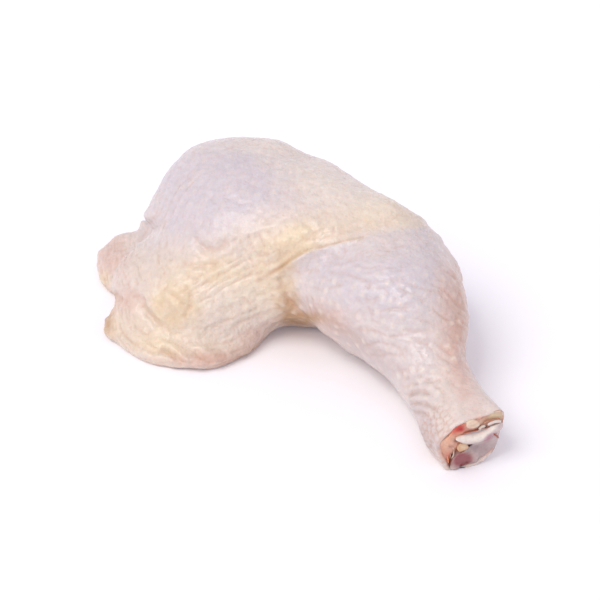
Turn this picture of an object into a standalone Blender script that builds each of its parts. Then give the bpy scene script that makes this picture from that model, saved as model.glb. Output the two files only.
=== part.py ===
"""A raw chicken leg, thigh and drumstick in one piece with the skin on, lying on its inner side.

Units are metres with +Z up; the sizes below are real sizes in millimetres and are scaled by MM.
The leg lies on the plane z = 0 with the skin side up: the drumstick points to -Y, the thigh to -X.
"""

from math import pi

import bmesh
import bpy
import numpy as np
from mathutils import Matrix, Vector

MM = 0.001

# Drumstick: stations along its centre line from the knee to past the hock cut.
# Each row is x, y, z of the centre, half width across, half height, roll in degrees, and the
# power of the section's outline: 2 is an ellipse, more is squarer.
DRUMSTICK = [
    (33, 19, 20, 3, 3, 0, 2),
    (33, 16, 20.5, 19, 13, 0, 2),
    (31.3, 9, 22.5, 27.7, 19.5, 0, 2),
    (28.4, -1, 24, 31, 23, 0, 2),
    (30.8, -10, 25, 28.0, 24.5, 0, 2),
    (36, -19, 24.5, 23.8, 24, 0, 2),
    (39.8, -27.6, 21.8, 20.7, 21.3, 0, 2),
    (42.5, -34.5, 18.6, 17.5, 17.8, -4, 2),
    (44.8, -41.5, 15.9, 14.9, 14.8, -10, 2.1),
    (46.8, -49, 13.7, 13.4, 12.4, -16, 2.2),
    (48.8, -56, 12.4, 12.9, 11.4, -20, 2.3),
    (52.2, -66, 11.9, 13.5, 10.8, -22, 2.8),
    (55.8, -76, 11.3, 13.8, 11.0, -22, 3.2),
    (59.3, -86, 11.0, 13.6, 10.9, -22, 3.2),
    (61.1, -92, 10.8, 13.6, 10.9, -22, 3.2),
]

# Thigh: stations along the thigh bone's line from the hip end to the knee, in the same form.
THIGH = [
    (-50, 42, 17, 3, 3, 0, 2),
    (-46, 41.5, 20, 15, 14.5, 0, 2),
    (-37.5, 40, 25.5, 28.2, 26, 0, 2),
    (-25, 36, 26.5, 37.2, 29.6, 0, 2),
    (-7, 25.8, 26.5, 36.6, 29.6, 0, 2),
    (10, 13.5, 26.5, 30.5, 27.5, 0, 2),
    (25, 6.5, 26, 24, 26, 0, 2),
    (38, 1, 25.5, 18.5, 23.5, 0, 2),
    (46, -4, 24, 3, 3, 0, 2),
]

# Fat pad: the low swelling that carries the thigh's skin down on to the flap.
FAT_PAD = [
    (-65, 34, 4, 3, 2, 0, 2),
    (-58, 29, 8, 18, 12, 0, 2),
    (-45, 19, 12, 28, 17, 0, 2),
    (-26, 11, 15, 26, 20, 0, 2),
    (-9, 7, 17, 15, 19, 0, 2),
    (2, 7, 18, 3, 3, 0, 2),
]

# Skin flap: its rim as x, y and z, going round from behind the hip to the web beside the drumstick.
FLAP_RIM = [
    (-30, 62, 12),
    (-50, 62, 12),
    (-63, 57, 10),
    (-77, 49, 6),
    (-76.5, 31, 3),
    (-68, 18, 3),
    (-72.5, 4, 3),
    (-68.5, -8, 3),
    (-56, -20, 3.5),
    (-43, -25, 3.5),
    (-33, -26.5, 3.5),
    (-20, -18.5, 4),
    (-11, -8, 8),
    (0, -2, 12),
    (22, 4, 14),
    (20, 30, 12),
    (-5, 55, 12),
]
FLAP_CENTRE = (-30, 22)
FLAP_RISE = 20.0
FLAP_TUCK = 5.0
FLAP_LIP = 2.2
FLAP_STEPS = (0.12, 0.25, 0.4, 0.6, 0.8, 0.95)
FLAP_BULGE = 0.9
FLAP_SINK = 3.0

# Folds and creases, drawn as the leg is seen from the front, 34 degrees up and 800 mm away:
# how deep, how wide, how far the skin above and below it swells or sinks, and the line's points
# as right and up on the plane through VIEW_CENTRE.
VIEW_CENTRE = (0, 0, 15)
VIEW_RISE = 34.0
VIEW_DISTANCE = 800.0
MAIN_CREASE = [(47, 27.5), (36, 26), (25, 23), (14, 20.5), (4, 18), (-4, 15), (-10, 10.5), (-20, 3)]
KNEE_HOLLOW = [(-8, 11.5), (-6, 5.5), (-3, 0), (2, -6)]
FLAP_FOLD = [(-61.5, 3), (-57, -3), (-53.5, -8), (-51.5, -11)]
BACK_LOBE = [(-34, 48.5), (-18, 54), (0, 50.5), (11, 47), (24, 40)]
THIGH_DIMPLE = [(-36, 17), (-33, 19.5)]
THIGH_FOLDS = [
    [(-25, 22), (-21, 15), (-19, 9)],
    [(-18, 23), (-14, 17), (-13, 12)],
]
FLAP_FOLDS = [
    [(-54, -14), (-50, -20), (-47, -24)],
    [(-46, -11), (-41, -18), (-37, -24)],
    [(-34, -9), (-30, -15), (-27, -20)],
]
FOLD_FADE = 5.0
FOLD_ENDS = 0.15
STEP_START = 1.2
STEP_REACH = 5.0
FOLDS = [
    (1.6, 2.0, 1.3, -1.0, MAIN_CREASE),
    (1.3, 2.4, 0.4, 0.0, KNEE_HOLLOW),
    (1.0, 2.2, 0.5, 0.0, FLAP_FOLD),
    (0.8, 2.2, -0.4, 0.3, BACK_LOBE),
    (1.1, 3.8, 0.0, 0.0, THIGH_DIMPLE),
    *((0.6, 2.4, 0.0, 0.0, line) for line in THIGH_FOLDS),
    *((0.8, 2.3, 0.0, 0.0, line) for line in FLAP_FOLDS),
]

# Hock cut: a frame at the middle of the cut end. OUT points along the shank, out of the leg,
# WIDE runs up to the right across the cut, and UP makes the third direction.
HOCK = (56.4, -77.5, 12.0)
HOCK_OUT = (0.33, -0.94, -0.12)
HOCK_WIDE = (0.872, 0.315, 0.375)
CUT_AT = 0.8
CUT_SIZE = 32.0

# Outline of the skin at the cut, across and up in the cut's frame, going round; over the last
# stretch of the shank the loft's own section, SHANK_HALF and SHANK_POWER, turns into it.
CUT_OUTLINE = [
    (-10.4, 5.5),
    (-6.6, 7.8),
    (-3.2, 9.5),
    (0.5, 9.4),
    (4.0, 8.6),
    (7.5, 7.8),
    (11.0, 7.3),
    (13.6, 6.2),
    (14.4, 4.0),
    (13.0, 0.4),
    (11.2, -2.9),
    (9.0, -6.2),
    (6.4, -9.0),
    (3.2, -10.5),
    (-0.5, -10.8),
    (-4.5, -10.7),
    (-8.6, -10.2),
    (-11.2, -8.9),
    (-11.3, -4.6),
    (-11.0, 0.5),
]
CUT_MIDDLE = (0.6, -0.9)
SHANK_HALF = (13.3, 10.7)
SHANK_POWER = 3.0
SHANK_BLEND = (-9.0, -0.5)

# The hollow inside the cut skin: how thick the skin is, and how deep the floor of flesh lies.
CUT_SKIN = 1.3
HOLLOW_FLOOR = -0.9

# Shin bone: outline of the joint end in the cut, going round, then the shaft it narrows to.
JOINT_END = [
    (9.2, -1.4),
    (8.0, 0.6),
    (4.5, 1.7),
    (1.0, 2.6),
    (-2.0, 2.5),
    (-1.8, 0.6),
    (-0.9, -1.6),
    (-1.7, -4.4),
    (-4.0, -5.4),
    (-6.8, -5.6),
    (-8.2, -6.6),
    (-7.4, -8.2),
    (-3.6, -8.7),
    (0.6, -8.8),
    (4.0, -8.4),
    (6.0, -6.6),
    (7.9, -4.2),
]
JOINT_POINTS = 40
JOINT_MIDDLE = (1.0, -5.2)
JOINT_TOP = 1.9
JOINT_CAP = ((0.12, 0), (0.3, 0), (0.5, 0), (0.7, 0), (0.86, 0.1), (0.95, 0.5))
JOINT_SHOULDER = 1.6
SADDLE_DEPTH = 1.4
SADDLE = (3.0, -6.2)
SADDLE_HALF = (5.0, 2.4)
SHAFT_MIDDLE = (2.6, -2.6)
SHAFT_RADIUS = 3.8
SHAFT_STARTS = 20.0
SHAFT_STEPS = (0.25, 0.5, 0.75, 1.0)
NECK_DEPTHS = (4.0, 7.0, 10.0, 13.5, 17.0, SHAFT_STARTS)
SHAFT_LENGTH = 80.0
KNEE_END = (36.0, -4.0, 26.0)

# Tendons: middle in the cut, middle at the deep end, half width and height, and length.
TENDONS = {
    "front_tendon": ((2.9, 5.0), (2.9, 5.4), (2.2, 1.4), 22.0),
    "back_tendon": ((-3.9, -2.2), (-6.4, -0.6), (1.5, 1.9), 20.0),
    "side_tendon": ((-7.2, 1.4), (-8.2, 1.8), (0.9, 0.9), 14.0),
}
TENDON_TOP = 1.3
TENDON_CAP = ((0.35, 0.0), (0.7, 0.15), (0.93, 0.55))
TENDON_SHOULDER = 1.2
OVAL_POINTS = 20

VOXEL = 1.8
SMOOTHING_ROUNDS = 12
SMOOTHING_SHARE = 0.5

# The slope from thigh to flap is relaxed further: axis, where it begins, where it is in full.
SLOPE_ROUNDS = 40
SLOPE_RAMPS = [(0, -2, -14), (0, -66, -56), (1, 38, 24), (1, -16, -4), (2, 7, 13)]

LEG_TRIANGLES = 8700

# Clearance round each bone and tendon, and how far out their pockets are cut.
GAP = 0.4
OPEN_AT = 6.0

FINISHES = {
    "raw_skin": ((0.86, 0.76, 0.70), 0.42),
    "joint_cartilage": ((0.80, 0.72, 0.73), 0.3),
    "tendon": ((0.87, 0.77, 0.66), 0.35),
}


def smooth_rows(rows, count, closed=False):
    """Rows of numbers resampled to count rows on a Catmull-Rom curve through them."""
    rows = np.array(rows, float)
    n = len(rows)
    spans = n if closed else n - 1
    places = np.linspace(0, spans, count, endpoint=not closed)
    span = np.minimum(places.astype(int), spans - 1)
    t = (places - span)[:, None]

    def row(k):
        return rows[k % n] if closed else rows[np.clip(k, 0, n - 1)]

    a, b, c, d = (row(span + k) for k in (-1, 0, 1, 2))
    return 0.5 * (
        2 * b + (c - a) * t + (2 * a - 5 * b + 4 * c - d) * t**2 + (3 * b - a - 3 * c + d) * t**3
    )


def loft(name, rings):
    """A closed mesh from rings, an array of rings x points x 3 in millimetres, with a face at each end."""
    rings = np.asarray(rings, float)
    count, around = rings.shape[:2]
    mesh = bmesh.new()
    grid = [[mesh.verts.new(Vector(p) * MM) for p in ring] for ring in rings]
    for k in range(count - 1):
        for j in range(around):
            i = (j + 1) % around
            mesh.faces.new((grid[k][j], grid[k][i], grid[k + 1][i], grid[k + 1][j]))
    mesh.faces.new(grid[0])
    mesh.faces.new(grid[-1])
    bmesh.ops.recalc_face_normals(mesh, faces=mesh.faces)
    data = bpy.data.meshes.new(name)
    mesh.to_mesh(data)
    mesh.free()
    return bpy.data.objects.new(name, data)


def limb(name, stations, rings=60, around=48):
    """A limb with an elliptical section at each station, square to its centre line."""
    rows = smooth_rows(stations, rings)
    centre, half_width, half_height = rows[:, :3], rows[:, 3:4], rows[:, 4:5]
    along = np.gradient(centre, axis=0)
    along /= np.linalg.norm(along, axis=1, keepdims=True)
    side = np.cross(along, (0, 0, 1))
    side /= np.linalg.norm(side, axis=1, keepdims=True)
    up = np.cross(side, along)
    roll = np.radians(rows[:, 5:6])
    wide = side * np.cos(roll) + up * np.sin(roll)
    thin = up * np.cos(roll) - side * np.sin(roll)
    turn = np.linspace(0, 2 * pi, around, endpoint=False)[None, :, None]
    power = 2 / rows[:, None, 6:7]
    across = wide[:, None] * half_width[:, None] * np.sign(np.cos(turn)) * np.abs(np.cos(turn)) ** power
    upright = thin[:, None] * half_height[:, None] * np.sign(np.sin(turn)) * np.abs(np.sin(turn)) ** power
    return loft(name, centre[:, None] + across + upright)


def flap(name, around=120):
    """The loose skin: a low mound that tucks in under its rim and rises inwards to the thigh."""
    rim = smooth_rows(FLAP_RIM, around, closed=True)
    centre = np.array([*FLAP_CENTRE, 0.0])
    inward = centre - rim
    inward[:, 2] = 0
    reach = np.linalg.norm(inward, axis=1, keepdims=True)
    unit = inward / reach
    up = np.array([0, 0, 1.0])
    floor = rim * (1, 1, 0)
    rings = [
        floor + inward * FLAP_STEPS[-1] - up * FLAP_SINK,
        floor + unit * FLAP_TUCK - up * FLAP_SINK,
        floor + unit * FLAP_TUCK * 0.8 + up * (rim[:, 2:] - FLAP_LIP) * 0.5,
        rim + unit * 1.0 - up * FLAP_LIP,
        rim,
        rim + unit * 1.0 + up * FLAP_LIP,
    ]
    for share in FLAP_STEPS:
        height = rim[:, 2:] + FLAP_LIP + (FLAP_RISE - rim[:, 2:] - FLAP_LIP) * share**FLAP_BULGE
        rings.append(floor + inward * share + up * height)
    return loft(name, rings)


def relaxed(points, edges, rounds, share):
    """Points moved towards the mean of their neighbours, a share of the way in every round."""
    a, b = edges.T
    degree = np.bincount(edges.ravel(), minlength=len(points))[:, None]
    for _ in range(rounds):
        total = np.zeros_like(points)
        np.add.at(total, a, points[b])
        np.add.at(total, b, points[a])
        points = points + (total / degree - points) * share
    return points


def front_view(points):
    """Right and up of the points in mm, as seen from the front and above on the view plane."""
    rise = np.radians(VIEW_RISE)
    away = np.array([0, -np.cos(rise), np.sin(rise)])
    up = np.array([0, np.sin(rise), np.cos(rise)])
    q = points - VIEW_CENTRE
    scale = VIEW_DISTANCE / (VIEW_DISTANCE - q @ away)
    return np.stack([q[:, 0] * scale, (q @ up) * scale], 1), away


def fold_relief(seen, line, depth, width, above, below):
    """How far skin moves out at a fold: a groove along the line and a step from side to side."""
    line = smooth_rows(line, 12 * len(line))
    a, b = line[:-1], line[1:]
    step = b - a
    offset = seen[:, None] - a[None]
    along = np.clip((offset * step).sum(2) / (step**2).sum(1), 0, 1)
    gap = offset - along[..., None] * step
    distance = np.linalg.norm(gap, axis=2)
    near = distance.argmin(1)
    rows = np.arange(len(seen))
    near_step = step[near]
    near_offset = offset[rows, near]
    side = np.sign(near_step[:, 0] * near_offset[:, 1] - near_step[:, 1] * near_offset[:, 0])
    if line[0, 0] > line[-1, 0]:
        side = -side
    reach = distance[rows, near]
    place = (near + along[rows, near]) / len(a)
    fade = np.clip(np.minimum(place, 1 - place) * FOLD_FADE, FOLD_ENDS, 1)
    groove = -depth * np.exp(-((reach / width) ** 2))
    step_up = np.where(side > 0, above, below) * np.exp(-((reach / (STEP_REACH * width)) ** 2))
    step_up *= 1 - np.exp(-((reach / (STEP_START * width)) ** 2))
    return (groove + step_up) * fade


def shaped_cut(points):
    """The shank's end pushed in and out, square to its axis, until it has the cut's outline."""
    middle, wide, up, out = hock_frame()
    q = points - middle
    across = np.stack([q @ wide, q @ up], 1) - CUT_MIDDLE
    turn = np.arctan2(across[:, 1], across[:, 0])
    outline = smooth_rows(CUT_OUTLINE, 240, closed=True) - CUT_MIDDLE
    bearing = np.arctan2(outline[:, 1], outline[:, 0])
    order = np.argsort(bearing)
    reach = np.linalg.norm(outline, axis=1)[order]
    wanted = np.interp(turn, bearing[order], reach, period=2 * pi)
    sides = np.abs(np.stack([np.cos(turn), np.sin(turn)], 1)) / SHANK_HALF
    now = (sides**SHANK_POWER).sum(1) ** (-1 / SHANK_POWER)
    low, high = SHANK_BLEND
    t = np.clip((q @ out - low) / (high - low), 0, 1)
    t = t * t * (3 - 2 * t)
    near = np.linalg.norm(across, axis=1) < 2 * max(SHANK_HALF)
    grow = (wanted / now - 1) * t * near
    return points + (across * grow[:, None]) @ np.stack([wide, up])


def fused(name, pieces):
    """One skin over the pieces: joined, voxel remeshed, relaxed, folded, and flat on the floor."""
    joined = bmesh.new()
    for piece in pieces:
        joined.from_mesh(piece.data)
    data = bpy.data.meshes.new(name)
    joined.to_mesh(data)
    joined.free()
    whole = bpy.data.objects.new(name, data)
    bpy.context.scene.collection.objects.link(whole)
    remesh = whole.modifiers.new("one skin", "REMESH")
    remesh.mode = "VOXEL"
    remesh.voxel_size = VOXEL * MM
    bpy.context.view_layer.update()
    graph = bpy.context.evaluated_depsgraph_get()
    skin = bpy.data.meshes.new_from_object(whole.evaluated_get(graph))
    whole.modifiers.clear()
    whole.data = skin
    bpy.context.scene.collection.objects.unlink(whole)
    points = np.empty(len(skin.vertices) * 3, np.float32)
    skin.vertices.foreach_get("co", points)
    points = points.reshape(-1, 3).astype(float) / MM
    edges = np.empty(len(skin.edges) * 2, np.int32)
    skin.edges.foreach_get("vertices", edges)
    edges = edges.reshape(-1, 2)
    points = relaxed(points, edges, SMOOTHING_ROUNDS, SMOOTHING_SHARE)
    slope = np.ones(len(points))
    for axis, begin, full in SLOPE_RAMPS:
        slope *= np.clip((points[:, axis] - begin) / (full - begin), 0, 1)
    points = relaxed(points, edges, SLOPE_ROUNDS, SMOOTHING_SHARE * slope[:, None])
    points = shaped_cut(points)
    skin.vertices.foreach_set("co", (points * MM).ravel())
    skin.update()
    normals = np.empty(len(skin.vertices) * 3, np.float32)
    skin.vertex_normals.foreach_get("vector", normals)
    normals = normals.reshape(-1, 3).astype(float)
    seen, away = front_view(points)
    facing = np.clip(2 * normals @ away, 0, 1)
    move = sum(
        fold_relief(seen, line, depth, width, above, below)
        for depth, width, above, below, line in FOLDS
    )
    points = points + normals * (move * facing)[:, None]
    points[:, 2] = np.maximum(points[:, 2], 0)
    skin.vertices.foreach_set("co", (points * MM).ravel())
    skin.update()
    return whole


def hock_frame():
    """The cut's middle and its three square directions: wide, up and out."""
    out = np.array(HOCK_OUT) / np.linalg.norm(HOCK_OUT)
    up = np.cross(out, HOCK_WIDE)
    up /= np.linalg.norm(up)
    return np.array(HOCK), np.cross(up, out), up, out


def at_hock(across, out):
    """World places of points across the cut (wide and up), at a distance out from its plane."""
    middle, wide, up, along = hock_frame()
    across = np.asarray(across, float)
    out = np.broadcast_to(np.asarray(out, float), across.shape[:-1])
    return middle + across[..., :1] * wide + across[..., 1:] * up + out[..., None] * along


def cut_block():
    """A block over everything beyond the cut."""
    square = np.array([(-1, -1), (1, -1), (1, 1), (-1, 1)]) * CUT_SIZE
    return loft("hock cut", [at_hock(square, CUT_AT), at_hock(square, CUT_SIZE)])


def oval(middle, half):
    """An oval across the cut: middle, half width and height."""
    turn = np.linspace(0, 2 * pi, OVAL_POINTS, endpoint=False)
    return np.stack([np.cos(turn), np.sin(turn)], 1) * half + middle


def grown(outline, amount):
    """A closed outline moved outwards by an amount, square to itself."""
    tangent = np.roll(outline, -1, axis=0) - np.roll(outline, 1, axis=0)
    tangent /= np.linalg.norm(tangent, axis=1, keepdims=True)
    outward = np.stack([tangent[:, 1], -tangent[:, 0]], 1)
    turning = (outline * np.roll(outline, -1, axis=0)[:, ::-1] * (1, -1)).sum()
    return outline + outward * amount * np.sign(turning)


def bone(name, clear=0.0, open_end=False):
    """The shin bone: joint end, narrowing neck, and shaft to the knee; clear makes its pocket."""
    outline = grown(smooth_rows(JOINT_END, JOINT_POINTS, closed=True), clear)
    middle = np.array(JOINT_MIDDLE)
    arm = outline - middle
    turn = np.arctan2(arm[:, 1], arm[:, 0])
    circle = np.stack([np.cos(turn), np.sin(turn)], 1) * (SHAFT_RADIUS + clear) + SHAFT_MIDDLE
    rings = []
    if open_end:
        rings.append(at_hock(outline, OPEN_AT))
    else:
        for share, drop in JOINT_CAP:
            ring = middle + arm * share
            dish = np.exp(-((ring[:, 0] - SADDLE[0]) / SADDLE_HALF[0]) ** 2)
            dish *= np.exp(-((ring[:, 1] - SADDLE[1]) / SADDLE_HALF[1]) ** 2)
            rings.append(at_hock(ring, JOINT_TOP - drop - SADDLE_DEPTH * dish))
    rings.append(at_hock(outline, JOINT_TOP - JOINT_SHOULDER))
    for depth in NECK_DEPTHS:
        t = (depth - NECK_DEPTHS[0]) / (SHAFT_STARTS - NECK_DEPTHS[0])
        t = t * t * (3 - 2 * t)
        rings.append(at_hock(outline * (1 - t) + circle * t, -depth))
    start = at_hock(circle, -SHAFT_STARTS)
    end = start + (np.array(KNEE_END) - start.mean(0))
    rings += [start * (1 - t) + end * t for t in SHAFT_STEPS]
    if clear:
        rings.append(end + (end - start) * clear / SHAFT_LENGTH)
    return loft(name, rings)


def tendon(name, clear=0.0, open_end=False):
    """A tendon: a short oval rod with a rounded top; clear makes its pocket."""
    top, deep, half, length = TENDONS[name]
    half = np.array(half) + clear
    rings = []
    if open_end:
        rings.append(at_hock(oval(top, half), OPEN_AT))
    else:
        for share, drop in TENDON_CAP:
            rings.append(at_hock(oval(top, half * share), TENDON_TOP - drop))
    rings.append(at_hock(oval(top, half), TENDON_TOP - TENDON_SHOULDER))
    rings.append(at_hock(oval(deep, half), -length - clear))
    return loft(name if not open_end else name + " pocket", rings)


def hollow():
    """The hollow inside the cut skin, down to its floor of cut flesh."""
    edge = grown(smooth_rows(CUT_OUTLINE, 60, closed=True), -CUT_SKIN)
    return loft("hock hollow", [at_hock(edge, HOLLOW_FLOOR), at_hock(edge, OPEN_AT)])


def thin_out(obj, triangles):
    """Fewer triangles, most of them kept where the form turns."""
    obj.data.calc_loop_triangles()
    decimate = obj.modifiers.new("thin out", "DECIMATE")
    decimate.ratio = triangles / len(obj.data.loop_triangles)


def take_away(obj, cutter):
    """The cutter's volume taken out of the object."""
    cut = obj.modifiers.new(cutter.name, "BOOLEAN")
    cut.operation = "DIFFERENCE"
    cut.object = cutter
    cutter.hide_render = True
    cutter.display_type = "WIRE"


def finish(obj, name):
    """A material of the object's own with the colour and roughness kept under a name."""
    colour, roughness = FINISHES[name]
    material = bpy.data.materials.new(obj.name + "_" + name)
    material.use_nodes = True
    shader = material.node_tree.nodes["Principled BSDF"]
    shader.inputs["Base Color"].default_value = (*colour, 1)
    shader.inputs["Roughness"].default_value = roughness
    shader.inputs["Metallic"].default_value = 0
    obj.data.materials.clear()
    obj.data.materials.append(material)


def settle(bodies, cutters):
    """Everything moved so that the bodies' box stands with its bottom centre at the origin."""
    bpy.context.view_layer.update()
    graph = bpy.context.evaluated_depsgraph_get()
    corners = np.array([v for body in bodies for v in body.evaluated_get(graph).bound_box])
    low, high = corners.min(0), corners.max(0)
    move = Matrix.Translation((-(low[0] + high[0]) / 2, -(low[1] + high[1]) / 2, -low[2]))
    for obj in bodies + cutters:
        obj.data.transform(move)
        obj.data.update()


def gather(name, objects):
    """The objects in a collection of their own."""
    group = bpy.data.collections.new(name)
    bpy.context.scene.collection.children.link(group)
    for obj in objects:
        group.objects.link(obj)


def main():
    for old in list(bpy.data.objects):
        bpy.data.objects.remove(old)
    pieces = [limb("drumstick", DRUMSTICK), limb("thigh", THIGH), limb("fat pad", FAT_PAD), flap("flap")]
    leg = fused("leg", pieces)
    thin_out(leg, LEG_TRIANGLES)
    shin_bone = bone("shin_bone")
    tendons = [tendon(name) for name in TENDONS]
    cutters = [cut_block(), hollow(), bone("bone pocket", GAP, open_end=True)]
    cutters += [tendon(name, GAP, open_end=True) for name in TENDONS]
    for cutter in cutters:
        take_away(leg, cutter)
    finish(leg, "raw_skin")
    finish(shin_bone, "joint_cartilage")
    for body in tendons:
        finish(body, "tendon")
    bodies = [leg, shin_bone, *tendons]
    gather("chicken_leg", bodies)
    gather("cutters", cutters)
    for piece in pieces:
        bpy.data.objects.remove(piece)
    settle(bodies, cutters)


main()
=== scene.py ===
"""The looks of a raw chicken leg: thigh and drumstick in one piece, skin on, lying on a pale table."""

import bpy
import numpy as np
from mathutils import Matrix, Vector


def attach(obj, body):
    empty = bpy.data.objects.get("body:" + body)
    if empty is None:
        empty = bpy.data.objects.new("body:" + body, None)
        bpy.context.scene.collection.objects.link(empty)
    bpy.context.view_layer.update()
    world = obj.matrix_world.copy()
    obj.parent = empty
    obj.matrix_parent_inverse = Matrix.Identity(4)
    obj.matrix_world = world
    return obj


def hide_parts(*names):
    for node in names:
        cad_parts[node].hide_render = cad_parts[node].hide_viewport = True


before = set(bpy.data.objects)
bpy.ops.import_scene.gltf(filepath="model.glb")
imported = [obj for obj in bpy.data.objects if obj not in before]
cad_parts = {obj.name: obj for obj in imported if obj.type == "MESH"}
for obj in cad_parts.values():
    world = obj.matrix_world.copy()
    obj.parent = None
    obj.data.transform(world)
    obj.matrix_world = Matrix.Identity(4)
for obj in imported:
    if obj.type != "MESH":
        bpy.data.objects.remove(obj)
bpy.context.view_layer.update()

# View. The leg is seen from the front, 34 degrees above the table and 800 mm away, through a long
# lens, so that places on it can be named by where they lie in a picture 600 wide and high. Sizes
# are in mm throughout, and MM turns them to metres.

MM = 0.001
PICTURE = 600
AIM = np.array([4.61, 5.96, 15.02])
RISE = np.radians(34.0)
AWAY = np.array([0.0, -np.cos(RISE), np.sin(RISE)])
UPWARD = np.array([0.0, np.sin(RISE), np.cos(RISE)])
DISTANCE = 800.0
MM_PER_PX = 0.36
SENSOR = 36.0
NEAR_CLIP, FAR_CLIP = 10, 20000

lens = bpy.data.cameras.new("view")
lens.sensor_width = SENSOR
lens.lens = SENSOR * DISTANCE / (PICTURE * MM_PER_PX)
lens.clip_start, lens.clip_end = NEAR_CLIP * MM, FAR_CLIP * MM
camera = bpy.data.objects.new("view", lens)
bpy.context.scene.collection.objects.link(camera)
turn = Matrix(((1, 0, 0), tuple(UPWARD), tuple(AWAY))).transposed()
camera.matrix_world = Matrix.Translation(Vector((AIM + DISTANCE * AWAY) * MM)) @ turn.to_4x4()
bpy.context.scene.camera = camera


def seen(points):
    """Places of points in mm in the picture: right and down, after the perspective of the lens."""
    offset = points - AIM
    scale = DISTANCE / (DISTANCE - offset @ AWAY) / MM_PER_PX
    return np.stack([PICTURE / 2 + offset[:, 0] * scale, PICTURE / 2 - (offset @ UPWARD) * scale], 1)


# Skin. The real one is soft, wet and a little see-through, plucked, with goose bumps where the
# feathers stood; it hugs the thigh and drumstick, and hangs loose as a flap beside the thigh.

# The hock's frame: OUT points out of the square cut at the lower right, WIDE runs up to the right
# across it, and HIGH is the third direction, all from the cut's middle.
HOCK = np.array([61.01, -71.54, 12.02])
OUT = np.array([0.3289, -0.9367, -0.1196])
WIDE = np.array([0.8907, 0.2655, 0.3691])
WIDE = (WIDE - WIDE @ OUT * OUT) / np.linalg.norm(WIDE - WIDE @ OUT * OUT)
HIGH = np.cross(OUT, WIDE)

# VOXEL is the size of the skin's faces, EVEN_ROUNDS and EVEN_SHARE smooth them, and EDGE_KEPT is how
# much of the cut's sharp edge stays. TILT, SLOPES, SLOPE and HASH belong to the random field, FADE
# to the soft spots, CLOSEST to scattered centres, and PART is how many points are compared at once.
VOXEL = 0.73
WELD = 0.001
EVEN_ROUNDS, EVEN_SHARE = 16, 0.5
EDGE_KEPT = 0.8
TILT = np.linalg.qr(np.random.default_rng(5).normal(size=(3, 3)))[0]
SLOPES, SLOPE = 4096, 1.7
HASH = (73856093, 19349663, 83492791)
FADE = 1.3
CLOSEST = 0.72
PART = 4000


def at_cut(points):
    """Across, up and out of points in mm, measured in the hock's frame."""
    offset = points - HOCK
    return np.stack([offset @ WIDE, offset @ HIGH, offset @ OUT], 1)


def node(tree, kind, inputs=None, **settings):
    """A node with its settings; inputs are numbers, colours or the sockets that feed them."""
    new = tree.nodes.new(kind)
    for name, value in settings.items():
        setattr(new, name, value)
    for name, value in (inputs or {}).items():
        if isinstance(value, bpy.types.NodeSocket):
            tree.links.new(value, new.inputs[name])
        else:
            new.inputs[name].default_value = value
    return new


def linear(code):
    """A colour written as sRGB hex, turned to linear light, with alpha 1."""
    part = np.array([int(code[k : k + 2], 16) for k in (0, 2, 4)]) / 255
    light = np.where(part <= 0.04045, part / 12.92, ((part + 0.055) / 1.055) ** 2.4)
    return (*light.tolist(), 1.0)


def waver(points, size, seed):
    """Smooth random field from about -1 to 1: at each corner of a tilted grid of cubes of the
    given size in mm stands a random slope, and the slopes are blended with a smooth step."""
    slopes = np.random.default_rng(seed).normal(size=(SLOPES, 3))
    slopes *= SLOPE / np.linalg.norm(slopes, axis=1, keepdims=True)
    places = np.asarray(points, float) @ TILT / size
    whole = np.floor(places).astype(np.int64)
    inside = places - whole
    t = inside**3 * (inside * (inside * 6 - 15) + 10)
    total = 0.0
    for corner in np.ndindex(2, 2, 2):
        key = (whole + corner) * HASH
        slope = slopes[(key[:, 0] ^ key[:, 1] ^ key[:, 2]) & (SLOPES - 1)]
        lift = ((inside - corner) * slope).sum(1)
        total = total + lift * np.where(corner, t, 1 - t).prod(1)
    return total


def ramp(values, start, full):
    """0 before start, 1 after full, and a smooth step between them."""
    t = np.clip((values - start) / (full - start), 0, 1)
    return t * t * (3 - 2 * t)


def furrows(field, narrow=2.4):
    """Furrows where a field crosses zero: 1 on that line, and a smooth step down to 0 on both
    sides of it, where the field has reached one part in narrow."""
    return ramp(1 - np.abs(field) * narrow, 0, 1)


def curve(rows, count, closed=False):
    """Rows resampled to count rows on a Catmull-Rom curve through them."""
    rows = np.array(rows, float)
    spans = len(rows) if closed else len(rows) - 1
    places = np.linspace(0, spans, count, endpoint=not closed)
    span = np.minimum(places.astype(int), spans - 1)
    t = (places - span)[:, None]
    near = [span + k for k in (-1, 0, 1, 2)]
    a, b, c, d = (rows[k % len(rows) if closed else np.clip(k, 0, len(rows) - 1)] for k in near)
    return 0.5 * (2 * b + (c - a) * t + (2 * a - 5 * b + 4 * c - d) * t**2 + (3 * b - a - 3 * c + d) * t**3)


def beside(places, line):
    """How far along a line of the picture each place lies, as a share of it, and how far across
    it, in mm, from the nearest point of the line; left of its direction is positive."""
    path = curve(line, 40)
    step = np.diff(path, axis=0)
    length = (step**2).sum(1)
    offset = places[:, None] - path[None, :-1]
    share = np.clip((offset * step).sum(2) / length, 0, 1)
    gap = offset - share[..., None] * step
    distance = (gap**2).sum(2)
    best = distance.argmin(1)
    rows = np.arange(len(places))
    side = step[best, 0] * gap[rows, best, 1] - step[best, 1] * gap[rows, best, 0]
    along = (best + share[rows, best]) / len(step)
    return along, -np.sign(side) * np.sqrt(distance[rows, best]) * MM_PER_PX


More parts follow.
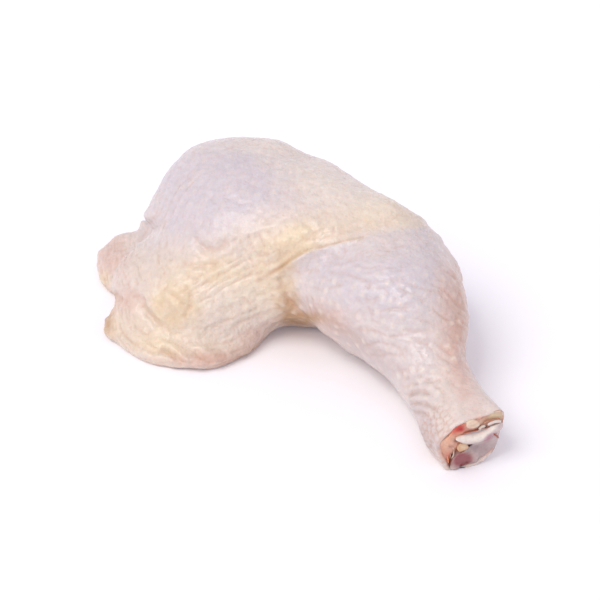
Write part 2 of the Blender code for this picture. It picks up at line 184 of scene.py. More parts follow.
def blobs(places, rows):
    """A soft mask from spots in the picture: middle right and down, half width, half height, turn
    in degrees and strength. A spot is full in its middle and fades as e to the minus s, where s is
    the squared distance in half widths and heights, raised to the power of FADE."""
    total = np.zeros(len(places))
    for x, y, wide, high, degrees, strength in rows:
        c, s = np.cos(np.radians(degrees)), np.sin(np.radians(degrees))
        right, down = places[:, 0] - x, places[:, 1] - y
        far = ((right * c + down * s) / wide) ** 2 + ((down * c - right * s) / high) ** 2
        total = total + strength * np.exp(-(far**FADE))
    return np.clip(total, 0, 1)


def evened(points, edges, rounds, share):
    """Points moved towards the mean of their neighbours, a share of the way in every round."""
    a, b = edges.T
    count = len(points)
    degree = np.bincount(a, minlength=count) + np.bincount(b, minlength=count)
    for _ in range(rounds):
        sums = [np.bincount(a, points[b, k], count) + np.bincount(b, points[a, k], count) for k in range(3)]
        mean = np.stack([part / degree for part in sums], 1)
        points = points + (mean - points) * share
    return points


def nearest_two(points, centres):
    """For each point the index of the nearest centre and the distances of the nearest two."""
    index, first, second = [], [], []
    size = (centres**2).sum(1)
    for part in np.array_split(points, max(1, len(points) // PART)):
        far = (part**2).sum(1)[:, None] + size - 2 * part @ centres.T
        best = far.argmin(1)
        rows = np.arange(len(part))
        first.append(far[rows, best].copy())
        far[rows, best] = np.inf
        index.append(best)
        second.append(far.min(1))
    first, second = (np.sqrt(np.maximum(np.concatenate(d), 0)) for d in (first, second))
    return np.concatenate(index), first, second


def spread(points, spacing, seed, rounds=2):
    """Centres spread over a surface: one point drawn from each cube of the spacing, thinned where
    two are close, then each moved to the middle of the points that are nearest to it."""
    draw = np.random.default_rng(seed)
    order = draw.permutation(len(points))
    cubes = np.floor(points[order] / spacing).astype(np.int64)
    _, first = np.unique(cubes, axis=0, return_index=True)
    centres = points[order[first]]
    centres = centres[draw.permutation(len(centres))]
    gap = ((centres[:, None] - centres[None]) ** 2).sum(2) < (CLOSEST * spacing) ** 2
    earlier = np.tril(gap, -1)
    kept = ~earlier.any(1)
    kept = kept | ~(earlier & kept[None]).any(1)
    centres = centres[kept]
    for _ in range(rounds):
        owner, _, _ = nearest_two(points, centres)
        share = np.bincount(owner, minlength=len(centres))
        moved = np.stack([np.bincount(owner, points[:, k], len(centres)) for k in range(3)], 1)
        centres = np.where(share[:, None] > 0, moved / np.maximum(share, 1)[:, None], centres)
    return centres


def leg_surface():
    """The CAD leg's mesh, merged, remade with even small faces, and smoothed except at the cut,
    where most of the sharp edge is kept."""
    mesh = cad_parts["leg"].data.copy()
    raw = bpy.data.objects.new("raw", mesh)
    bpy.context.scene.collection.objects.link(raw)
    weld = raw.modifiers.new("weld", "WELD")
    weld.merge_threshold = WELD * MM
    remesh = raw.modifiers.new("remesh", "REMESH")
    remesh.mode = "VOXEL"
    remesh.voxel_size = VOXEL * MM
    made = bpy.data.meshes.new_from_object(raw.evaluated_get(bpy.context.evaluated_depsgraph_get()))
    bpy.data.objects.remove(raw)
    points = np.zeros(len(made.vertices) * 3)
    made.vertices.foreach_get("co", points)
    points = points.reshape(-1, 3) / MM
    edges = np.zeros(len(made.edges) * 2, int)
    made.edges.foreach_get("vertices", edges)
    smooth = evened(points, edges.reshape(-1, 2), EVEN_ROUNDS, EVEN_SHARE)
    place = at_cut(points)
    reach = np.linalg.norm(place[:, :2], axis=1)
    keep = ramp(place[:, 2], -5, -1.5) * (1 - ramp(reach, 22, 26))
    return made, smooth + (points - smooth) * keep[:, None] * EDGE_KEPT, edges.reshape(-1, 2)


def normals_of(mesh, points):
    """The mesh's vertex normals once its vertices are at the points, given in mm."""
    mesh.vertices.foreach_set("co", (points * MM).ravel())
    mesh.update()
    found = np.zeros(len(points) * 3)
    mesh.vertex_normals.foreach_get("vector", found)
    return found.reshape(-1, 3)


skin_mesh, skin_points, skin_edges = leg_surface()

# Where the loose skin pulls straight or hangs over, the surface is drawn a little to one side, as
# seen in the picture: right, down, half width, half height, turn, then mm to the right and up.
PULLS = [
    (163, 170, 26, 34, 25, 2.6, -0.5),
    (155, 204, 10, 12, 0, -1.5, 0.0),
    (151, 217, 11, 9, 0, -3.4, 0.0),
    (147, 222, 7, 6, 0, -0.6, 0.8),
    (134, 227, 9, 6, 0, 0.4, -0.8),
    (97, 252, 7, 7, 0, -0.9, 0.4),
    (120, 238, 10, 7, 0, -0.2, 0.4),
    (112, 303, 8, 9, 0, 1.1, 0.0),
    (107, 333, 8, 10, 0, -1.3, -0.5),
    (150, 360, 24, 9, 15, -0.3, -0.7),
    (196, 369, 14, 8, 0, 0.0, 0.6),
    (259, 349, 15, 9, -35, 0.6, -0.9),
    (305, 327, 18, 8, 0, 0.0, 1.3),
    (280, 332, 17, 9, -15, -0.3, 1.9),
    (334, 339, 16, 10, 35, 0.7, 1.0),
    (371, 365, 13, 9, 40, -0.6, -0.6),
    (409, 210, 16, 10, 30, -0.6, -1.1),
    (452, 254, 10, 16, -20, -0.8, -0.2),
    (441, 234, 9, 9, 0, 0.9, 0.6),
    (470, 356, 9, 20, 0, -1.6, 0.0),
    (408, 424, 9, 22, -20, 1.1, 0.0),
    (276, 141, 16, 7, 10, 0.0, 0.6),
    (307, 154, 18, 8, 25, -0.2, -1.0),
    (497, 424, 6, 12, 0, -0.7, 0.0),
    (470, 462, 30, 9, -25, 0.6, -1.6),
]
pulled = seen(skin_points)
for *spot, to_right, upward in PULLS:
    share = blobs(pulled, [(*spot, 1.0)])[:, None]
    skin_points = skin_points + share * (np.array([to_right, 0, 0]) + upward * UPWARD)
skin_normals = normals_of(skin_mesh, skin_points)
towards = skin_normals @ AWAY
place = seen(skin_points)
cut_place = at_cut(skin_points)
shank_way = cut_place[:, 2]
near_shank = 1 - ramp(np.linalg.norm(cut_place[:, :2], axis=1), 19, 24)
scaly = near_shank * ramp(shank_way, -15, -8)
free = ramp(skin_normals[:, 2], -0.85, -0.35)
hidden = ramp(-towards, -0.1, 0.4)

# Goose bumps: low domes up to 3.6 mm wide where the feathers stood, some 4.3 mm apart.
BUMP_SPACING, BUMP_RADIUS, BUMP_RISE = 4.3, 1.8, 0.50
bump_centres = spread(skin_points, BUMP_SPACING, 11)
bump_owner, bump_first, _ = nearest_two(skin_points, bump_centres)
bump_share = np.random.default_rng(12).uniform(0.0, 1.0, len(bump_centres))[bump_owner] ** 0.8
dome = (1 - ramp(bump_first, 0.1, BUMP_RADIUS)) * bump_share

# Pebbles: the skin between the bumps is drawn into small soft lumps, 2.9 mm apart.
PEBBLE_SPACING, PEBBLE_SIDE, PEBBLE_RISE, PEBBLE_MEAN = 2.9, 1.8, 0.24, 0.4
pebble_centres = spread(skin_points, PEBBLE_SPACING, 15)
pebble_owner, pebble_first, pebble_second = nearest_two(skin_points, pebble_centres)
pebble_share = np.random.default_rng(16).uniform(0.3, 1.0, len(pebble_centres))[pebble_owner]
pebble = ramp(pebble_second - pebble_first, 0.0, PEBBLE_SIDE) * pebble_share

# Scales of the ankle: flat plates 2.2 mm apart, with thin furrows between them, on its left side.
SCALE_SPACING, SCALE_FURROW, SCALE_DEPTH = 2.2, 0.8, 0.42
near_cut = np.flatnonzero(scaly > 0)
scale_centres = spread(skin_points[near_cut], SCALE_SPACING, 21)
_, scale_first, scale_second = nearest_two(skin_points[near_cut], scale_centres)
scale_gap = 1 - ramp(scale_second - scale_first, 0.0, SCALE_FURROW)
scale_edge = np.zeros(len(skin_points))
scale_edge[near_cut] = scale_gap * (1 - ramp(cut_place[near_cut, 0], -7, 1))

# Where the bumps and pebbles stand high, as spots in the picture; they are low elsewhere, and
# there are no spots on the sides that the picture doesn't show.
BUMPY = [
    (385, 291, 42, 14, 0, 0.8),
    (350, 315, 44, 20, 35, 1.0),
    (333, 300, 26, 22, 0, 0.9),
    (392, 308, 32, 16, 0, 0.8),
    (381, 343, 50, 22, 20, 1.0),
    (457, 315, 14, 58, 0, 0.9),
    (430, 375, 34, 26, 0, 0.8),
    (256, 306, 48, 26, 0, 0.9),
    (292, 303, 22, 20, 0, 0.9),
    (395, 215, 44, 26, 30, 0.5),
    (300, 190, 60, 30, 20, 0.35),
]
BUMPY_ALL, BUMPY_HIDDEN = 0.2, 0.35
bumpy = np.clip(BUMPY_ALL + blobs(place, BUMPY) * (1 - hidden) + BUMPY_HIDDEN * hidden, 0, 1) * (1 - scaly)
height = dome * BUMP_RISE * bumpy + (pebble - PEBBLE_MEAN) * PEBBLE_RISE * bumpy
height = height - scale_edge * SCALE_DEPTH * scaly

# Ripples round the drumstick: furrows across the limb that bend down over its right side. Each
# row gives their spacing, length and depth in mm, and a seed.
RIPPLES = [(4.4, 17.0, 0.66, 71), (2.8, 11.0, 0.20, 72)]
RIPPLED = [
    (400, 300, 60, 34, 30, 0.8),
    (385, 340, 50, 26, 30, 1.0),
    (420, 380, 44, 34, 20, 1.0),
    (455, 300, 20, 60, 0, 0.9),
    (340, 285, 40, 24, 30, 0.6),
]
SLANT, BEND_FROM, BEND = 0.12, 400, 0.006
facing = ramp(towards, 0.05, 0.4)
rippled = blobs(place, RIPPLED) * (1 - scaly) * ramp(skin_points[:, 1], 30, 12) * (0.25 + 0.75 * facing)
bend = np.maximum(place[:, 0] - BEND_FROM, 0) ** 2 * BEND
flow_down = (place[:, 1] - SLANT * place[:, 0] - bend) * MM_PER_PX + 1.2 * waver(skin_points, 8, 76)
for spacing, length, depth, seed in RIPPLES:
    flow = [flow_down / spacing, place[:, 0] * MM_PER_PX / length, skin_points[:, 1] / length]
    height = height - furrows(waver(np.stack(flow, 1), 1, seed)) * depth * rippled

# Wrinkles in bands along a guide line: half width of the band, length and spacing of the furrows
# and their depth, all in mm, a seed, and the line. Finer furrows run between the wide ones.
WRINKLES = [
    (15, 26, 1.8, 0.60, 31, [(184, 158), (166, 182), (152, 208), (142, 236), (140, 262), (150, 290)]),
    (9, 22, 1.6, 0.22, 32, [(418, 226), (440, 246), (455, 270), (464, 305), (468, 340)]),
    (10, 20, 1.6, 0.55, 33, [(116, 236), (112, 256), (114, 276), (118, 292)]),
    (9, 18, 1.5, 0.60, 37, [(116, 292), (115, 312), (120, 332), (136, 348)]),
    (10, 26, 2.9, 0.80, 34, [(118, 330), (148, 350), (182, 363), (214, 362), (246, 350)]),
    (15, 22, 2.4, 0.60, 38, [(292, 266), (262, 277), (235, 287), (207, 300), (186, 318)]),
    (10, 18, 2.3, 0.55, 39, [(300, 318), (276, 326), (252, 338), (226, 350)]),
    (9, 18, 2.8, 0.95, 40, [(250, 232), (254, 250), (266, 270)]),
    (11, 16, 1.5, 0.30, 35, [(300, 262), (330, 262), (370, 254), (410, 246)]),
    (9, 14, 1.4, 0.30, 36, [(395, 345), (420, 372), (436, 404), (446, 432)]),
]
WIDE_SHARE, FINE_SHARE, FINER = 0.6, 0.35, 1.9
sway = np.stack([waver(skin_points, 11, 41), waver(skin_points, 11, 42)], 1)
for half, length, spacing, depth, seed, line in WRINKLES:
    along, across = beside(place + sway * 4, line)
    reach = np.linalg.norm(np.diff(np.array(line, float), axis=0), axis=1).sum() * MM_PER_PX
    flow = np.stack([across / spacing, along * reach / length, 0 * along], 1)
    inside = np.exp(-((across / half) ** 4)) * ramp(along, 0, 0.12) * (1 - ramp(along, 0.88, 1))
    wide_ones = furrows(waver(flow, 1.3, seed))
    fine_ones = furrows(waver(flow * FINER, 1.3, seed + 50))
    band = (wide_ones * WIDE_SHARE + fine_ones * FINE_SHARE) * depth * inside
    height = height - band * ramp(towards, -0.3, 0.2)

# Crinkles everywhere: short shallow furrows in all directions, as thin skin shows on firm flesh.
# Each row gives their size and depth in mm, and a seed; slow swells follow in the same form.
CRINKLES = [(5.0, 0.22, 51), (3.0, 0.17, 52)]
SWELLS = [(14, 0.35, 53), (7, 0.2, 54)]
FLAP = [(170, 300, 85, 70, 0, 1.0), (110, 270, 30, 50, 0, 1.0), (240, 320, 60, 40, -20, 1.0)]
in_flap = blobs(place, FLAP)
for size, depth, seed in CRINKLES:
    net = furrows(waver(skin_points * (1, 1, 0.8), size, seed), 2.6) * depth
    height = height - net * (1 - 0.3 * scaly) * (0.85 + 0.1 * in_flap) * (1 - 0.55 * rippled)
for size, rise, seed in SWELLS:
    height = height + waver(skin_points, size, seed) * rise

# Single folds: depth and half width in mm, and the line they run along. The first row lifts the
# skin, with a negative depth, over the crease between the thigh and the drumstick.
CREASE = [(250, 284), (272, 275), (292, 262), (311, 252), (339, 245), (369, 238), (400, 230), (431, 226)]
SINGLE_FOLDS = [
    (-1.7, 2.4, CREASE),
    (0.45, 0.7, [(262, 279), (272, 272), (284, 264), (300, 253), (322, 247), (345, 242)]),
    (0.9, 1.3, [(190, 230), (200, 245), (215, 250), (228, 237)]),
    (1.0, 1.3, [(130, 290), (140, 302), (148, 315), (165, 330)]),
    (0.9, 1.3, [(112, 292), (120, 298), (128, 304)]),
    (1.2, 1.3, [(158, 346), (172, 356), (185, 366)]),
    (1.0, 1.3, [(192, 350), (203, 358), (213, 367)]),
    (1.3, 0.8, [(403, 397), (410, 393), (420, 391), (430, 395)]),
    (1.4, 0.8, [(407, 406), (416, 402), (427, 403), (439, 408)]),
    (0.7, 0.8, [(424, 383), (432, 380), (442, 378)]),
    (0.7, 0.8, [(400, 388), (410, 384), (420, 384)]),
    (0.7, 0.8, [(411, 413), (420, 411), (430, 414)]),
    (0.35, 1.0, [(188, 160), (200, 152), (226, 147), (258, 146), (286, 153), (312, 163), (340, 176)]),
    (0.5, 0.9, [(283, 270), (281, 278), (284, 292), (293, 306), (306, 318), (316, 326)]),
    (0.5, 1.0, [(178, 262), (200, 266), (222, 262)]),
    (0.35, 0.9, [(184, 282), (191, 296), (190, 310), (180, 322)]),
    (0.45, 0.9, [(142, 296), (147, 312), (158, 327)]),
]
for depth, half, line in SINGLE_FOLDS:
    along, across = beside(place + sway * 2, line)
    ends = ramp(along, 0, 0.2) * (1 - ramp(along, 0.8, 1))
    trench = np.exp(-((across / half) ** 2)) - 0.35 * np.exp(-(((np.abs(across) - 2.2 * half) / half) ** 2))
    height = height - depth * trench * ends * ramp(towards, -0.1, 0.25)

# Lumps of fat under the flap's skin: right, down, half width, half height, turn and rise. The
# flap's rim is ragged where it turns away from the eye.
FAT_LUMPS = [
    (196, 272, 8, 6, 0, 0.7),
    (212, 276, 9, 6, 20, 0.7),
    (226, 268, 7, 5, 0, 0.5),
    (178, 293, 13, 4, 36, 0.6),
    (164, 313, 13, 9, -25, 0.4),
    (181, 302, 7, 12, 20, 0.35),
    (205, 318, 14, 9, -20, 0.5),
    (235, 300, 10, 8, 0, 0.5),
    (152, 268, 9, 14, 10, 0.5),
    (110, 262, 9, 12, 0, 0.4),
]
RAGGED_SIZE, RAGGED_RISE = 3.4, 0.7
side_on = 1 - ramp(np.abs(towards), 0.1, 0.5)
height = height + side_on * in_flap * waver(skin_points, RAGGED_SIZE, 91) * RAGGED_RISE
for *spot, rise in FAT_LUMPS:
    height = height + blobs(place, [(*spot, 1.0)]) * rise

# The relief as a whole, none of it underneath or at the cut's rim. What stands below or above its
# own smoothed form is a hollow or a ridge, for the colours: painted shade in the hollows, painted
# light on the ridges.
RELIEF, LOWEST = 0.88, 0.02
HEIGHT_ROUNDS = 14
height = RELIEF * height * free * (1 - ramp(shank_way, -2.5, -0.8) * near_shank)
evened_height = evened(np.stack([height] * 3, 1), skin_edges, HEIGHT_ROUNDS, EVEN_SHARE)[:, 0]
hollow_shade = ramp(evened_height - height, 0.02, 0.28)
ridge_light = ramp(height - evened_height, 0.02, 0.24)
skin_points = skin_points + skin_normals * height[:, None]
skin_points[:, 2] = np.maximum(skin_points[:, 2], LOWEST)

# Colour zones, as spots in the picture: yellow fat under the skin, lilac where dark meat shows
# through, with a few lilac spots of painted shade, pink flush, brown painted shade in the folds and
# on sides turned from the light, and painted light in lighter places.
YELLOW_FAT = [
    (212, 272, 34, 18, 5, 0.8),
    (180, 298, 26, 20, 30, 0.7),
    (170, 310, 24, 22, 0, 0.8),
    (160, 350, 26, 14, 20, 0.5),
    (330, 228, 70, 18, -16, 0.48),
    (395, 215, 40, 18, 20, 0.45),
    (245, 300, 46, 26, -10, 0.35),
    (150, 265, 30, 26, 0, 0.25),
    (275, 232, 50, 18, -20, 0.3),
    (290, 252, 34, 20, -20, 0.7),
    (270, 285, 30, 22, 0, 0.6),
    (292, 302, 16, 18, 0, 0.8),
    (103, 280, 7, 12, 0, 0.8),
    (190, 345, 62, 20, 5, 0.42),
    (128, 325, 22, 26, 0, 0.4),
    (110, 320, 8, 22, 0, 0.5),
]
LILAC_AND_SHADE = [
    (236, 185, 52, 38, 10, 1.0),
    (200, 170, 50, 40, -20, 0.7),
    (160, 215, 24, 50, 0, 0.6),
    (320, 190, 60, 30, 20, 0.15),
    (350, 280, 60, 30, 30, 0.7),
    (425, 275, 45, 40, 0, 0.65),
    (395, 350, 50, 40, 0, 0.2),
    # Painted shade: these two lilac spots darken the hock's left side and the drumstick's lower left side,
    # which face down, away from the lamp.
    (425, 435, 12, 36, -20, 0.8),
    (355, 340, 60, 10, 38, 0.8),
    (200, 222, 30, 22, 0, 0.6),
]
FLUSH = [
    (110, 255, 16, 20, 0, 0.6),
    (125, 300, 16, 14, 0, 0.5),
    (252, 343, 26, 14, -25, 0.4),
    (205, 360, 40, 8, 0, 0.8),
    (455, 300, 18, 60, 0, 0.6),
    (462, 350, 16, 40, 0, 0.45),
    (468, 392, 12, 26, -20, 0.35),
    (330, 320, 24, 14, 30, 0.5),
]
# Brown painted shade: the dark gap under the web and the web's lower end, the hock's left side, the
# drumstick's lower left and right sides, the lower flap and its bottom, the flap's left lobes, the start of
# the crease and the rim under the thigh.
BROWN_SHADE = [
    (302, 319, 20, 7, 0, 1.0),
    (287, 303, 11, 15, -20, 0.9),
    (425, 438, 12, 30, -20, 0.28),
    (355, 340, 60, 9, 38, 0.28),
    (175, 302, 18, 16, 0, 0.15),
    (200, 356, 36, 10, 5, 0.15),
    (461, 310, 8, 46, -8, 0.22),
    (106, 322, 5, 14, 0, 0.8),
    (112, 300, 7, 6, 0, 0.4),
    (286, 268, 12, 6, -30, 0.4),
    (258, 352, 20, 6, -25, 0.7),
]
# Painted light: lighter spots on the thigh's top edge and upper right, and on its lower slope, which faces
# down, away from the lamp.
PAINTED_LIGHT = [
    (245, 298, 44, 22, -12, 0.8),
    (335, 188, 60, 24, 28, 0.8),
    (245, 146, 60, 9, 0, 0.5),
    (385, 205, 30, 14, 40, 0.4),
]

# Over the crease the thigh's yellow ends and the drumstick's lilac starts, along COLOUR_EDGE,
# between the two spans from left to right; a thin brown line of painted shade lies in the crease.
CREASE_SHADE_LINE = [(258, 280), (272, 272), (284, 264), (300, 254), (322, 247), (345, 242), (362, 240)]
COLOUR_EDGE = [(282, 265), (311, 251), (339, 244), (369, 238), (400, 231), (434, 226)]
EDGE_STARTS, EDGE_ENDS = (285, 305), (425, 445)
_, brown_side = beside(place, CREASE_SHADE_LINE)
_, edge_side = beside(place, COLOUR_EDGE)
over_crease = ramp(place[:, 0], *EDGE_STARTS) * (1 - ramp(place[:, 0], *EDGE_ENDS))
below_crease = over_crease * (1 - ramp(edge_side, -0.7, 0.5))
above_crease = over_crease * ramp(edge_side, -0.7, 0.5) * (1 - ramp(edge_side, 6, 12))
crease_shade = np.exp(-((brown_side / 0.8) ** 2)) * ramp(-towards, 0.1, -0.3)

# The sides that the picture doesn't show have wide patches of fat. The two attributes hold fat,
# lilac with some painted shade, flush and brown painted shade; then pale bump tips with painted
# light, painted shade in the hollows, the scale lines, the cut face and the distance from a pore.
patchy = waver(skin_points, 6, 61) * 0.3 + waver(skin_points, 2.6, 62) * 0.15
fatty = hidden * ramp(waver(skin_points, 24, 63), -0.1, 0.5) * 0.8
fat_zone = np.maximum(blobs(place, YELLOW_FAT) * (1 - hidden), fatty) * (1 + patchy) * (1 - below_crease)
lilac_and_shade_zone = blobs(place, LILAC_AND_SHADE) * (1 - patchy) * (1 - 0.8 * above_crease) * (1 - 0.6 * fatty)
flush_zone = blobs(place, FLUSH) * (1 + patchy) * (1 - 0.6 * hidden)
# Faces turned down get brown painted shade as well, and the crease gets its thin line of it.
brown_shade_zone = blobs(place, BROWN_SHADE) + 0.5 * crease_shade + ramp(-skin_normals[:, 2], 0.3, 0.9) * 0.3
inner = np.hypot((cut_place[:, 0] - 1) / 12.5, (cut_place[:, 1] + 0.9) / 9.6)
cut_face = ramp(shank_way, -2.2, -0.4) * (1 - ramp(inner, 0.9, 1.06)) * near_shank
# The pale tips of the goose bumps are their own colour; the ridges and the painted light spots add painted
# light.
bump_tips_and_painted_light = dome * (0.35 + 0.65 * bumpy) * 0.7 + ridge_light * 0.2 + blobs(place, PAINTED_LIGHT)
pore_distance = bump_first / 4 + (bump_share < 0.35) + scaly * 0.3 + (1 - free)
ATTRIBUTES = {
    "zones": [fat_zone, lilac_and_shade_zone + 0.3 * below_crease, flush_zone, brown_shade_zone],
    "grain": [bump_tips_and_painted_light, 0.5 * hollow_shade + scale_edge * scaly, cut_face, pore_distance],
}

skin_mesh.vertices.foreach_set("co", (skin_points * MM).ravel())
for name, values in ATTRIBUTES.items():
    layer = skin_mesh.attributes.new(name, "FLOAT_COLOR", "POINT")
    layer.data.foreach_set("color", np.clip(np.stack(values, 1), 0, 1).ravel().astype(np.float32))
skin_mesh.polygons.foreach_set("use_smooth", np.ones(len(skin_mesh.polygons), bool))
skin_mesh.update()
skin = bpy.data.objects.new("skin", skin_mesh)
bpy.context.scene.collection.objects.link(skin)

# Raw poultry skin, scalded and plucked: pale, waxy and wet, with fat showing through it, a mottle
# some 3 mm wide, and a satin sheen. Its own cells are too fine to show and are drawn 1.3 mm wide.
MOTTLE_MM, FINE_MM, CELL_MM, BUMP_MM = 3.0, 0.9, 1.3, 0.3
TIP_SHARE, HOLLOW_SHARE, PORE_SHARE = 0.55, 0.5, 0.25
raw_skin = bpy.data.materials.new("scalded_poultry_skin")
raw_skin.use_nodes = True
tree = raw_skin.node_tree
shader = tree.nodes["Principled BSDF"]
zone = node(tree, "ShaderNodeAttribute", attribute_name="zones")
zone_parts = node(tree, "ShaderNodeSeparateColor", {"Color": zone.outputs["Color"]})
detail = node(tree, "ShaderNodeAttribute", attribute_name="grain")
detail_parts = node(tree, "ShaderNodeSeparateColor", {"Color": detail.outputs["Color"]})
where = node(tree, "ShaderNodeTexCoord")
tips = node(
    tree, "ShaderNodeMath", {0: detail_parts.outputs["Red"], 1: TIP_SHARE}, operation="MULTIPLY"
)
valleys = node(
    tree, "ShaderNodeMath", {0: detail_parts.outputs["Green"], 1: HOLLOW_SHARE}, operation="MULTIPLY"
)
pore = node(
    tree,
    "ShaderNodeMapRange",
    {
        "Value": detail.outputs["Alpha"],
        "From Min": 0.04,
        "From Max": 0.15,
        "To Min": PORE_SHARE,
        "To Max": 0.0,
    },
)
SKIN_COLOUR = "E1D2C8"
# The coats in turn: lilac, some of it painted shade; yellow fat; pink flush; brown painted shade; pale bump
# tips with painted light; painted shade in the hollows, and the scale lines; pores; the cut face.
SKIN_COATS = [
    (zone_parts.outputs["Green"], "D4CACC"),
    (zone_parts.outputs["Red"], "E4CFAF"),
    (zone_parts.outputs["Blue"], "D9B3A3"),
    (zone.outputs["Alpha"], "B98E62"),
    (tips.outputs[0], "F3E8D7"),
    (valleys.outputs[0], "CF9F80"),
    (pore.outputs[0], "D9A87C"),
    (detail_parts.outputs["Blue"], "D9A084"),
]
colour = linear(SKIN_COLOUR)
for factor, code in SKIN_COATS:
    colour = node(tree, "ShaderNodeMix", {0: factor, 6: colour, 7: linear(code)}, data_type="RGBA").outputs[2]
mottle = node(
    tree,
    "ShaderNodeTexNoise",
    {"Vector": where.outputs["Object"], "Scale": 1 / (MOTTLE_MM * MM), "Detail": 4.0, "Roughness": 0.6},
)
shade, rough = (
    node(
        tree,
        "ShaderNodeMapRange",
        {"Value": mottle.outputs["Fac"], "From Min": 0.3, "From Max": 0.7, "To Min": low, "To Max": high},
    )
    for low, high in ((0.94, 1.05), (0.36, 0.52))
)
colour = node(tree, "ShaderNodeVectorMath", {0: colour, "Scale": shade.outputs[0]}, operation="SCALE")
fine = node(
    tree,
    "ShaderNodeTexNoise",
    {"Vector": where.outputs["Object"], "Scale": 1 / (FINE_MM * MM), "Detail": 3.0, "Roughness": 0.6},
)
cells = node(
    tree,
    "ShaderNodeTexVoronoi",
    {"Vector": where.outputs["Object"], "Scale": 1 / (CELL_MM * MM)},
    feature="SMOOTH_F1",
)
relief = node(
    tree, "ShaderNodeMath", {0: cells.outputs["Distance"], 1: fine.outputs["Fac"]}, operation="ADD"
)
bump = node(
    tree,
    "ShaderNodeBump",
    {"Height": relief.outputs[0], "Strength": 0.9, "Distance": BUMP_MM * MM},
)
tree.links.new(colour.outputs[0], shader.inputs["Base Color"])
tree.links.new(bump.outputs[0], shader.inputs["Normal"])
tree.links.new(rough.outputs[0], shader.inputs["Roughness"])
shader.inputs["IOR"].default_value = 1.42
shader.inputs["Subsurface Weight"].default_value = 0.25
shader.inputs["Subsurface Radius"].default_value = (1.0, 0.5, 0.35)
shader.inputs["Subsurface Scale"].default_value = 1.2 * MM
shader.inputs["Coat Weight"].default_value = 0.45
shader.inputs["Coat Roughness"].default_value = 0.17
skin_mesh.materials.clear()
skin_mesh.materials.append(raw_skin)
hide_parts("leg")
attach(skin, "root")

# Flesh in the cut. Behind the skin's cut edge lies a floor of torn red-brown tissue, salmon fat
# along the left wall and a bleeding spot at the top; it was cut through and stays wet. Places in
# the cut are named in a close view, eight times as large as the picture, from its own corner.

CLOSE_CORNER = np.array([400, 370])
CLOSE_SCALE = 8
CAP_SHARES = np.array([0.03, 0.1, 0.2, 0.3, 0.4, 0.5, 0.6, 0.69, 0.77, 0.84, 0.9, 0.95, 0.98, 1.0])
SHOULDER = ((1.0, 0.15), (0.99, 0.5), (0.97, 1.0))
WALL_SHARE, ROOT_SHARE = 0.93, 0.6
AROUND = 96
TABLE_GAP = 0.05


def from_cut(across, up, out):
    """Points in mm from their across, up and out in the hock's frame, whole arrays at a time."""
    return HOCK + across[..., None] * WIDE + up[..., None] * HIGH + out[..., None] * OUT


def close_up(points):
    """Places of points in mm in the close view."""
    return (seen(points) - CLOSE_CORNER) * CLOSE_SCALE


def on_cut(rows, out):
    """Across and up in the cut of places in the close view: sight lines met with the plane that
    stands at out."""
    rows = np.array(rows, float) / CLOSE_SCALE + CLOSE_CORNER
    right = (rows[:, 0] - PICTURE / 2) * MM_PER_PX
    up = (PICTURE / 2 - rows[:, 1]) * MM_PER_PX
    sight = right[:, None] * np.array([1.0, 0, 0]) + up[:, None] * UPWARD - DISTANCE * AWAY
    eye = AIM + DISTANCE * AWAY
    reach = ((HOCK + out * OUT - eye) @ OUT) / (sight @ OUT)
    return at_cut(eye + reach[:, None] * sight)[:, :2]


def painted(places, ground, coats):
    """Colours of places: the ground colour, covered in turn by each coat, a hex colour with the
    spots that it is laid on in."""
    colours = np.tile(np.array(linear(ground)), (len(places), 1))
    for code, spots in coats:
        share = blobs(places, spots)[:, None]
        colours = colours * (1 - share) + np.array(linear(code)) * share
    return colours


def ringed(name, rings):
    """A closed mesh from rings of points, rings x around x 3 in mm: each ring is joined to the
    next, and a point in the middle of the first and of the last closes the ends."""
    count, around = rings.shape[:2]
    points = np.concatenate([rings.reshape(-1, 3), rings[:1].mean(1), rings[-1:].mean(1)])
    points[:, 2] = np.maximum(points[:, 2], TABLE_GAP)
    start = np.arange(count - 1)[:, None] * around
    here = np.arange(around)
    beyond = (here + 1) % around
    sides = [start + here, start + beyond, start + around + beyond, start + around + here]
    quads = np.stack(sides, -1).reshape(-1, 4)
    first, last, end = count * around, count * around + 1, (count - 1) * around
    caps = [
        np.stack([np.full(around, first), beyond, here], -1),
        np.stack([np.full(around, last), end + here, end + beyond], -1),
    ]
    mesh = bpy.data.meshes.new(name)
    mesh.from_pydata((points * MM).tolist(), [], [*quads.tolist(), *np.concatenate(caps).tolist()])
    corners = points[np.concatenate([quads[:, :3], quads[:, [0, 2, 3]], *caps])]
    if np.einsum("ij,ij->i", corners[:, 0], np.cross(corners[:, 1], corners[:, 2])).sum() < 0:
        mesh.flip_normals()
    mesh.polygons.foreach_set("use_smooth", np.ones(len(mesh.polygons), bool))
    return mesh, points


def shown(name, mesh, points, material, ground, coats=()):
    """The piece itself: its colours painted, its material given, riding on the leg."""
    layer = mesh.attributes.new("tone", "FLOAT_COLOR", "POINT")
    layer.data.foreach_set("color", painted(close_up(points), ground, coats).ravel().astype(np.float32))
    mesh.materials.append(material)
    piece = bpy.data.objects.new(name, mesh)
    bpy.context.scene.collection.objects.link(piece)
    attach(piece, "root")
    return piece


